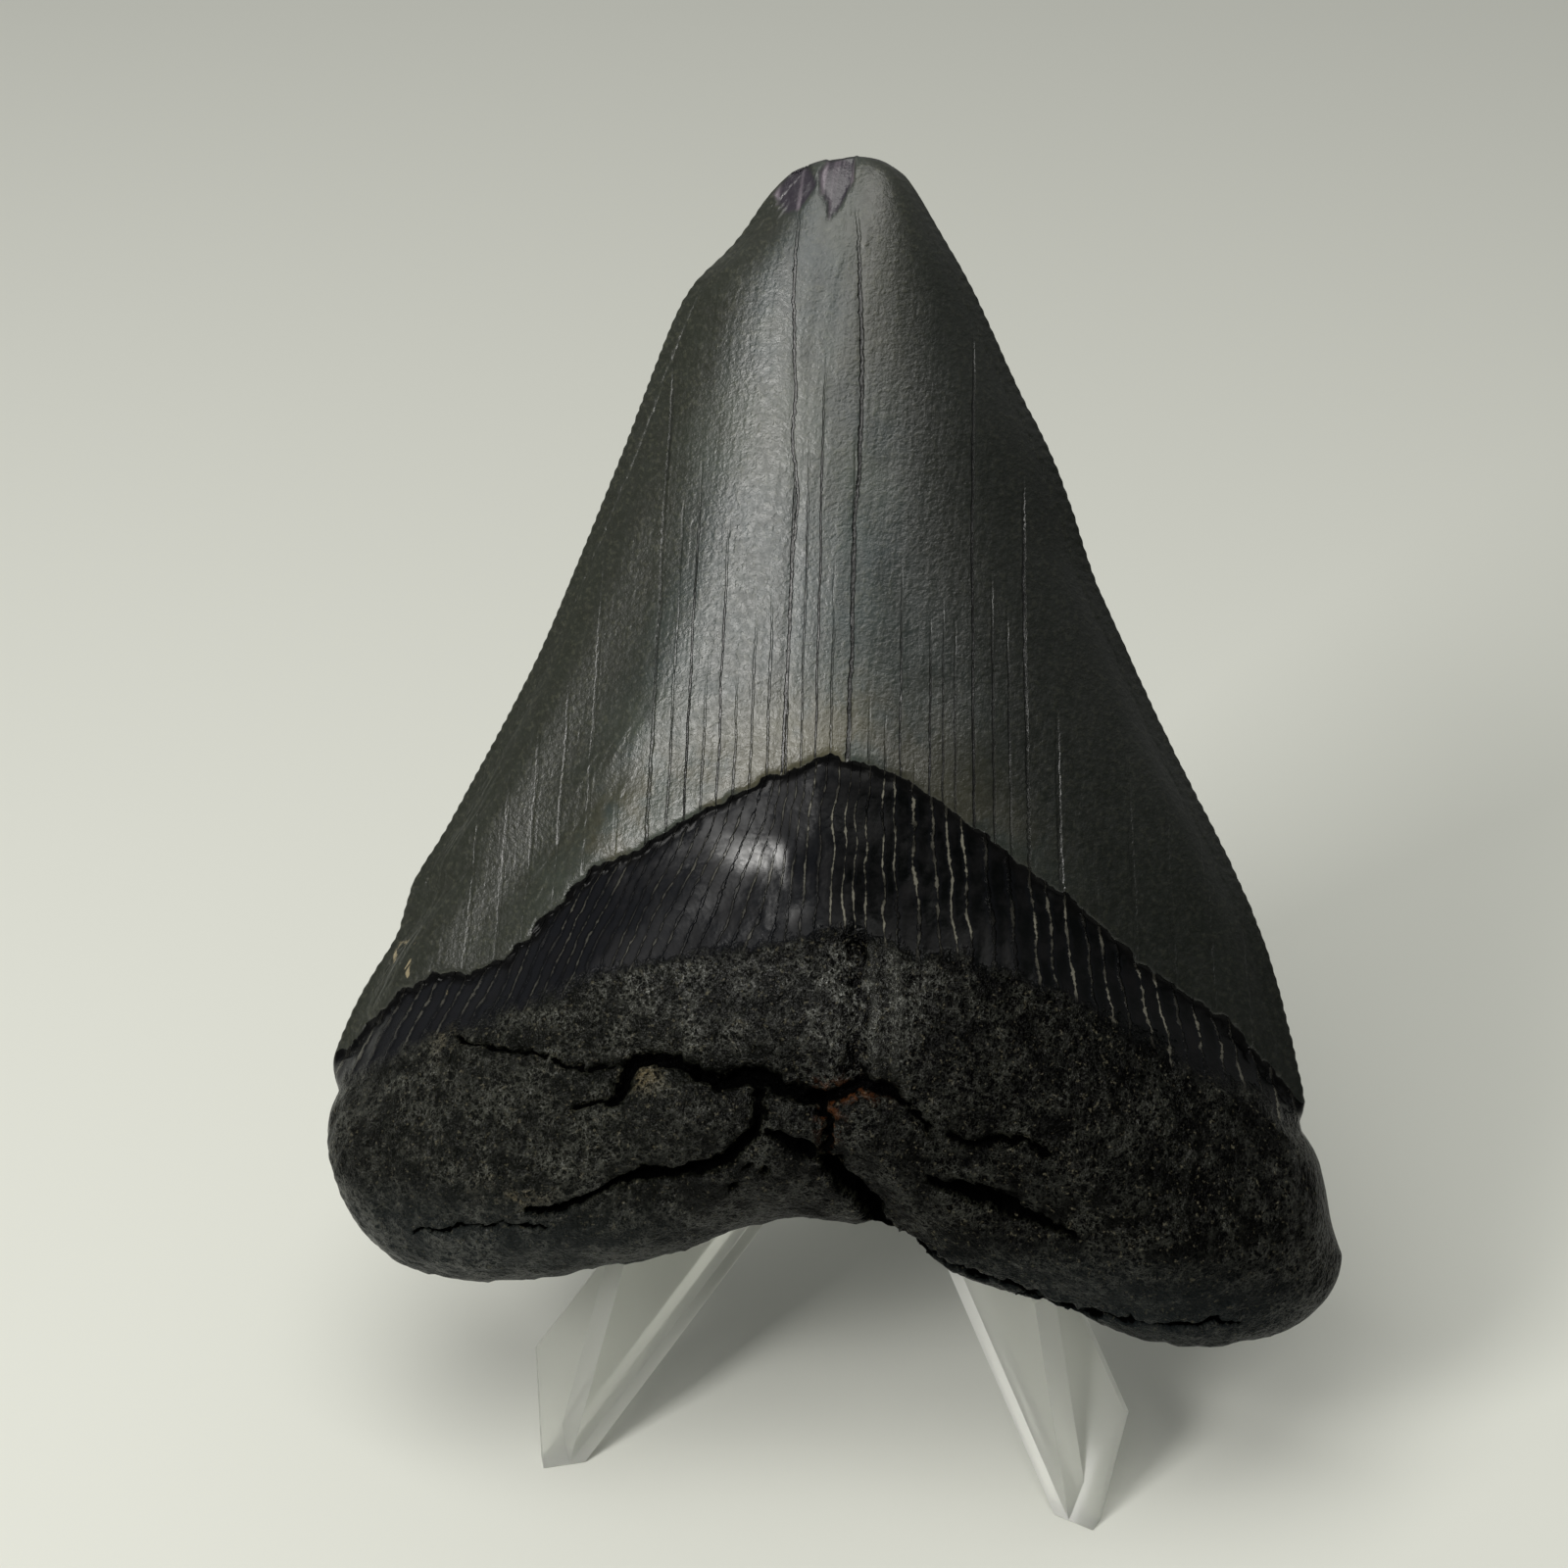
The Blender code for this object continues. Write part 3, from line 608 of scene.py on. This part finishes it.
def attribute(name):
    made = nodes.new("ShaderNodeAttribute")
    made.attribute_name = name
    return made.outputs["Fac"]


def calculated(operation, *values, clamp=False):
    """One sum of the given kind over the values, two at a time from the left."""
    total = values[0]
    for value in values[1:] or (0.0,):
        made = nodes.new("ShaderNodeMath")
        made.operation = operation
        made.use_clamp = clamp
        put(made.inputs[0], total)
        put(made.inputs[1], value)
        total = made.outputs[0]
    return total


def add(*values, clamp=False):
    return calculated("ADD", *values, clamp=clamp)


def times(*values):
    return calculated("MULTIPLY", *values)


def less(first, second):
    return calculated("SUBTRACT", first, second)


def most(*values):
    return calculated("MAXIMUM", *values)


def off_middle(value):
    """How far a value of 0..1 is from a half."""
    return calculated("ABSOLUTE", less(value, 0.5))


def off_whole(number):
    """How far a number is from the nearest whole one."""
    return off_middle(calculated("FRACT", add(number, 0.5)))


def sway(texture, amount):
    """A texture of 0..1 as a shift to either side."""
    return times(less(texture, 0.5), amount)


def between(value, low, high, at_low=0.0, at_high=1.0):
    """A smooth step from one value to another."""
    made = nodes.new("ShaderNodeMapRange")
    made.interpolation_type = "SMOOTHSTEP"
    names = ("Value", "From Min", "From Max", "To Min", "To Max")
    for name, setting in zip(names, (value, low, high, at_low, at_high)):
        put(made.inputs[name], setting)
    return made.outputs["Result"]


def mixed(share, first, second):
    """A mix of two colours; the sockets go by number, as their names repeat."""
    made = nodes.new("ShaderNodeMix")
    made.data_type = "RGBA"
    for number, value in ((0, share), (6, first), (7, second)):
        put(made.inputs[number], value)
    return made.outputs[2]


def mixed_value(share, first, second):
    """A mix of two plain values."""
    made = nodes.new("ShaderNodeMix")
    for number, value in ((0, share), (2, first), (3, second)):
        put(made.inputs[number], value)
    return made.outputs[0]


coordinates = nodes.new("ShaderNodeTexCoord").outputs["Object"]


def stretched(*scale):
    """Object coordinates turned by the tooth's lean and scaled by axis; small scales draw a texture out."""
    made = nodes.new("ShaderNodeMapping")
    links.new(coordinates, made.inputs["Vector"])
    made.inputs["Rotation"].default_value = (LEAN_BACK, 0, 0)
    made.inputs["Scale"].default_value = scale
    return made.outputs["Vector"]


def cloud(scale, detail=2.0, roughness=0.55, vector=coordinates):
    """Soft noise of 0..1 with this many features a metre."""
    made = nodes.new("ShaderNodeTexNoise")
    links.new(vector, made.inputs["Vector"])
    for name, setting in (("Scale", scale), ("Detail", detail), ("Roughness", roughness)):
        made.inputs[name].default_value = setting
    return made.outputs["Fac"]


patches = cloud(90.0, 3.0)
mottle = cloud(420.0, 3.0, 0.65)
speckle = cloud(2300.0, 2.0, 0.6)
streaks = cloud(260.0, 3.0, 0.6, stretched(1.0, 0.06, 0.06))
fine_streaks = cloud(900.0, 2.0, 0.6, stretched(1.0, 0.04, 0.04))
edge_noise = less(cloud(700.0, 3.0, 0.7), 0.5)
across, upwards, above_edge = attribute("across"), attribute("height"), attribute("above_enamel_edge")
enamel_share = between(add(above_edge, times(edge_noise, 0.5)), -0.05, 0.05)
root_share = between(add(attribute("above_root_edge"), times(edge_noise, 2.5)), 0.9, -0.6)

# Enamel: grey with a green and blue tint in the middle, tan just above the bourlette, olive-black blades, with
# painted shade on the right blade and the right half
ENAMEL_MID, ENAMEL_BLUE, ENAMEL_TAN = linear(58, 64, 57), linear(42, 52, 53), linear(76, 73, 55)
ENAMEL_TIP, ENAMEL_LIT_LEFT_BLADE, ENAMEL_SHADED_RIGHT_BLADE = linear(34, 34, 24), linear(36, 39, 32), linear(18, 19, 13)
ENAMEL_STREAK, ENAMEL_MOTTLE, ENAMEL_SPECK = linear(40, 42, 38), linear(34, 34, 28), linear(120, 120, 100)
ENAMEL_RIGHT_SHADE, CRACK_BLACK = linear(14, 18, 16), linear(8, 9, 8)
enamel_colour = mixed(between(patches, 0.42, 0.62), ENAMEL_MID, ENAMEL_BLUE)
blue_band = times(between(upwards, 42.0, 50.0), between(upwards, 68.0, 58.0))
enamel_colour = mixed(times(blue_band, 0.65), enamel_colour, ENAMEL_BLUE)
tan_patches = between(add(patches, times(mottle, 0.5)), 0.66, 0.86)
enamel_colour = mixed(times(between(above_edge, 11.0, 1.0), tan_patches), enamel_colour, ENAMEL_TAN)
high_right = times(between(upwards, 62.0, 76.0), between(across, -4.5, -1.0))
enamel_colour = mixed(times(high_right, 0.75), enamel_colour, ENAMEL_TIP)
# Painted shade: the blades reach further in on the right, and their colour darkens from the lit left blade to
# the shaded right one.
blade_reach = add(attribute("blade"), sway(patches, 0.35), between(across, -6.0, 8.0, -0.06, 0.2))
near_band = times(between(above_edge, 20.0, 3.0, 0.0, 0.2), between(across, -26.0, -12.0, 0.1, 1.0))
blade_share = most(between(less(blade_reach, near_band), 0.3, 0.68), between(attribute("front"), 0.7, 0.2))
lit_to_shaded_blade_colour = mixed(between(across, -4.0, 16.0), ENAMEL_LIT_LEFT_BLADE, ENAMEL_SHADED_RIGHT_BLADE)
enamel_colour = mixed(blade_share, enamel_colour, lit_to_shaded_blade_colour)
enamel_colour = mixed(between(streaks, 0.35, 0.75, 0.0, 0.4), enamel_colour, ENAMEL_STREAK)
enamel_colour = mixed(between(mottle, 0.3, 0.7, 0.0, 0.35), enamel_colour, ENAMEL_MOTTLE)
enamel_colour = mixed(between(speckle, 0.5, 0.7, 0.0, 0.1), enamel_colour, ENAMEL_SPECK)
# Painted shade: the crown's right half is darkened, away from the light at the left.
enamel_colour = mixed(between(across, -1.5, 5.0, 0.0, 0.62), enamel_colour, ENAMEL_RIGHT_SHADE)
thin_crack = between(add(off_whole(attribute("crack_number")), sway(cloud(1500.0), 0.14)), 0.085, 0.03)
thin_crack = times(thin_crack, attribute("crack_amount"), between(streaks, 0.3, 0.5, 0.35, 1.0))
crack_sway = sway(cloud(1300.0), 0.4)
long_cracks = []
for name, width in (("first_crack", 0.19), ("second_crack", 0.15)):
    way = calculated("ABSOLUTE", add(attribute(name), crack_sway))
    long_cracks.append(between(way, width, width * 0.5))
crack_share = most(times(attribute("crack"), most(*long_cracks)), thin_crack)
enamel_colour = mixed(times(crack_share, 0.97), enamel_colour, CRACK_BLACK)

# Bourlette: purple-brown and glossy at the left, near black with pale crinkled ridges at the right
BOURLETTE_LEFT, BOURLETTE_RIGHT, BOURLETTE_MOTTLE = linear(19, 20, 23), linear(4, 5, 5), linear(20, 19, 20)
RIDGE_SIDE, RIDGE_TOP, CRUMBLED_EDGE_AND_SHADE = linear(10, 11, 13), linear(106, 104, 94), linear(9, 9, 9)
bourlette_colour = mixed(between(add(across, times(patches, 8.0)), 0.0, 6.0), BOURLETTE_LEFT, BOURLETTE_RIGHT)
bourlette_colour = mixed(between(mottle, 0.4, 0.7, 0.0, 0.5), bourlette_colour, BOURLETTE_MOTTLE)
ridge_way = add(off_whole(attribute("ridge_number")), sway(cloud(1300.0, 2.0, 0.7), 0.42))
ridge_side = times(between(ridge_way, 0.3, 0.16), between(ridge_way, 0.06, 0.14))
bourlette_colour = mixed(times(ridge_side, 0.8), bourlette_colour, RIDGE_SIDE)
ridge_top = between(ridge_way, 0.1, 0.02)
ridge_breaks = times(between(cloud(260.0, 3.0), 0.36, 0.6), between(across, -8.0, 2.0, 0.35, 0.9))
ridge_share = times(ridge_top, ridge_breaks, attribute("ridge_amount"))
bourlette_colour = mixed(ridge_share, bourlette_colour, RIDGE_TOP)
# Partly painted shade: the band just under the enamel's edge is near black, both for crumbled material and for
# the shade under the edge.
crumbled_and_shaded = between(add(above_edge, times(edge_noise, 1.2)), -1.1, -0.5)
bourlette_colour = mixed(times(crumbled_and_shaded, 0.85), bourlette_colour, CRUMBLED_EDGE_AND_SHADE)

# Root: granular charcoal with olive specks, paler and leathery under the bourlette; painted light pales the
# left, painted shade darkens pits and blackens crevices
ROOT_DARK, ROOT_DARK_LIT_LEFT = linear(1, 1, 1), linear(8, 9, 7)
ROOT_PALE, ROOT_PALE_LIT_LEFT, ROOT_LEATHERY = linear(36, 37, 31), linear(54, 55, 47), linear(78, 79, 73)
ROOT_SPECK, ROOT_BLUE_BELOW, ROOT_CREVICE_SHADE = linear(96, 92, 76), linear(44, 50, 52), linear(3, 3, 3)
ROOT_RUST, ROOT_OCHRE = linear(70, 40, 20), linear(96, 84, 56)
cells = nodes.new("ShaderNodeTexVoronoi")
links.new(coordinates, cells.inputs["Vector"])
cells.inputs["Scale"].default_value = 1900.0
pitted = cloud(1000.0, 3.0, 0.7, stretched(1.0, 0.7, 1.0))
rough_grain = cloud(2100.0, 3.0, 0.65, stretched(1.0, 0.75, 1.0))
winding = off_middle(cloud(1000.0, 3.0, 0.6, stretched(1.0, 0.8, 1.0)))
finer_winding = off_middle(cloud(1900.0, 2.0, 0.6))
grain_top = times(between(cells.outputs["Distance"], 0.45, 0.2), between(pitted, 0.42, 0.58))
worn_tops_and_pit_shade = most(
    between(winding, 0.075, 0.01), times(between(finer_winding, 0.08, 0.01), 0.6), times(grain_top, 0.7),
)
worn_tops_and_pit_shade = times(worn_tops_and_pit_shade, between(mottle, 0.38, 0.62, 0.1, 1.0), between(cloud(170.0, 3.0), 0.4, 0.6, 0.45, 1.0))
worn_tops_and_pit_shade = add(worn_tops_and_pit_shade, times(attribute("upright"), 0.22), clamp=True)
wrinkled = attribute("wrinkled")
# Painted light: the root is paler towards the left, where the light falls.
root_lit_from_left = add(between(across, 4.0, -22.0), sway(patches, 0.8), clamp=True)
dark_root = mixed(root_lit_from_left, ROOT_DARK, ROOT_DARK_LIT_LEFT)
pale_root = mixed(wrinkled, mixed(root_lit_from_left, ROOT_PALE, ROOT_PALE_LIT_LEFT), ROOT_LEATHERY)
# Partly painted shade: the pits between the grains stay near black for the shade in them, and the worn grain
# tops are paler.
root_colour = mixed(worn_tops_and_pit_shade, dark_root, pale_root)
root_colour = mixed(between(speckle, 0.6, 0.75, 0.0, 0.5), root_colour, ROOT_SPECK)
root_colour = mixed(between(upwards, 1.0, -6.0, 0.0, 0.3), root_colour, ROOT_BLUE_BELOW)
root_colour = mixed(times(attribute("rust"), between(pitted, 0.46, 0.58)), root_colour, ROOT_RUST)
ochre_share = times(attribute("ochre"), worn_tops_and_pit_shade, between(mottle, 0.42, 0.56, 0.0, 0.8))
root_colour = mixed(ochre_share, root_colour, ROOT_OCHRE)
# Painted shade: the crevices and pits are coloured near black, for the shade that falls in them.
crevice_shade_share = between(add(attribute("crevice"), sway(rough_grain, 1.1)), 0.5, 0.72)
root_colour = mixed(crevice_shade_share, root_colour, ROOT_CREVICE_SHADE)

# The three together, with the flakes at the tip, the dark rim beside them and cream chips at the left notch
FLAKE_PALE, FLAKE_DARK = linear(98, 90, 98), linear(38, 33, 42)
RIM, CREAM = linear(14, 13, 16), linear(130, 120, 96)
colour = mixed(enamel_share, mixed(root_share, bourlette_colour, root_colour), enamel_colour)
colour = mixed(attribute("flake"), colour, mixed(between(fine_streaks, 0.45, 0.6), FLAKE_PALE, FLAKE_DARK))
colour = mixed(times(attribute("rim"), 0.9), colour, RIM)
colour = mixed(between(add(attribute("cream"), edge_noise), 0.4, 0.6), colour, CREAM)
links.new(colour, shader.inputs["Base Color"])

bourlette_roughness = between(mottle, 0.3, 0.7, 0.17, 0.33)
root_roughness = less(between(mottle, 0.3, 0.7, 0.3, 0.42), times(wrinkled, 0.1))
enamel_roughness = between(cloud(1600.0), 0.3, 0.7, 0.3, 0.4)
roughness = mixed_value(root_share, bourlette_roughness, root_roughness)
roughness = mixed_value(enamel_share, roughness, enamel_roughness)
links.new(roughness, shader.inputs["Roughness"])

ENAMEL_SHINE = 0.5
bourlette_shine = between(attribute("gloss"), 0.05, 0.8, 0.06, 0.55)
root_shine = times(between(across, 12.0, -12.0, 0.22, 0.5), between(attribute("crevice"), 0.4, 0.15))
root_shine = times(add(root_shine, times(wrinkled, 0.5)), add(times(worn_tops_and_pit_shade, 0.9), 0.1))
shine = mixed_value(enamel_share, mixed_value(root_share, bourlette_shine, root_shine), ENAMEL_SHINE)
links.new(shine, shader.inputs["Specular IOR Level"])
shader.inputs["IOR"].default_value = 1.5

BUMP_DEPTH = 0.16 * MM
enamel_height = less(add(times(speckle, 0.35), times(fine_streaks, 0.3)), times(crack_share, 1.6))
bourlette_height = add(times(ridge_top, 0.8), times(mottle, 0.35))
root_height = add(times(worn_tops_and_pit_shade, 1.3), times(pitted, 5.0))
bump = nodes.new("ShaderNodeBump")
bump.inputs["Strength"].default_value = 1.0
bump.inputs["Distance"].default_value = BUMP_DEPTH
height = mixed_value(enamel_share, mixed_value(root_share, bourlette_height, root_height), enamel_height)
links.new(height, bump.inputs["Height"])
links.new(bump.outputs["Normal"], shader.inputs["Normal"])
skin.materials.append(fossil)
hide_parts("tooth")
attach(tooth, "root")

# Easel: one moulding of clear plastic, lightly frosted by wear. The CAD solid's flat faces are kept as they
# are, and the plastic is see-through by transmission, with a faint tint.
PLASTIC_TINT, FROSTING, PLASTIC_IOR, SEE_THROUGH = (0.88, 0.89, 0.85, 1.0), 0.36, 1.49, 0.82
plastic, nodes, links, shader = new_material("clear_plastic")
shader.inputs["Base Color"].default_value = PLASTIC_TINT
shader.inputs["Roughness"].default_value = FROSTING
shader.inputs["IOR"].default_value = PLASTIC_IOR
shader.inputs["Transmission Weight"].default_value = SEE_THROUGH
easel_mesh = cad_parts["easel_stand"].data.copy()
bm = bmesh.new()
bm.from_mesh(easel_mesh)
bmesh.ops.remove_doubles(bm, verts=bm.verts, dist=1e-6)
bmesh.ops.dissolve_limit(bm, angle_limit=radians(0.5), verts=bm.verts, edges=bm.edges)
bm.to_mesh(easel_mesh)
bm.free()
easel_mesh.materials.clear()
easel_mesh.materials.append(plastic)
easel = bpy.data.objects.new("easel", easel_mesh)
bpy.context.scene.collection.objects.link(easel)
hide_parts("easel_stand")
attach(easel, "root")
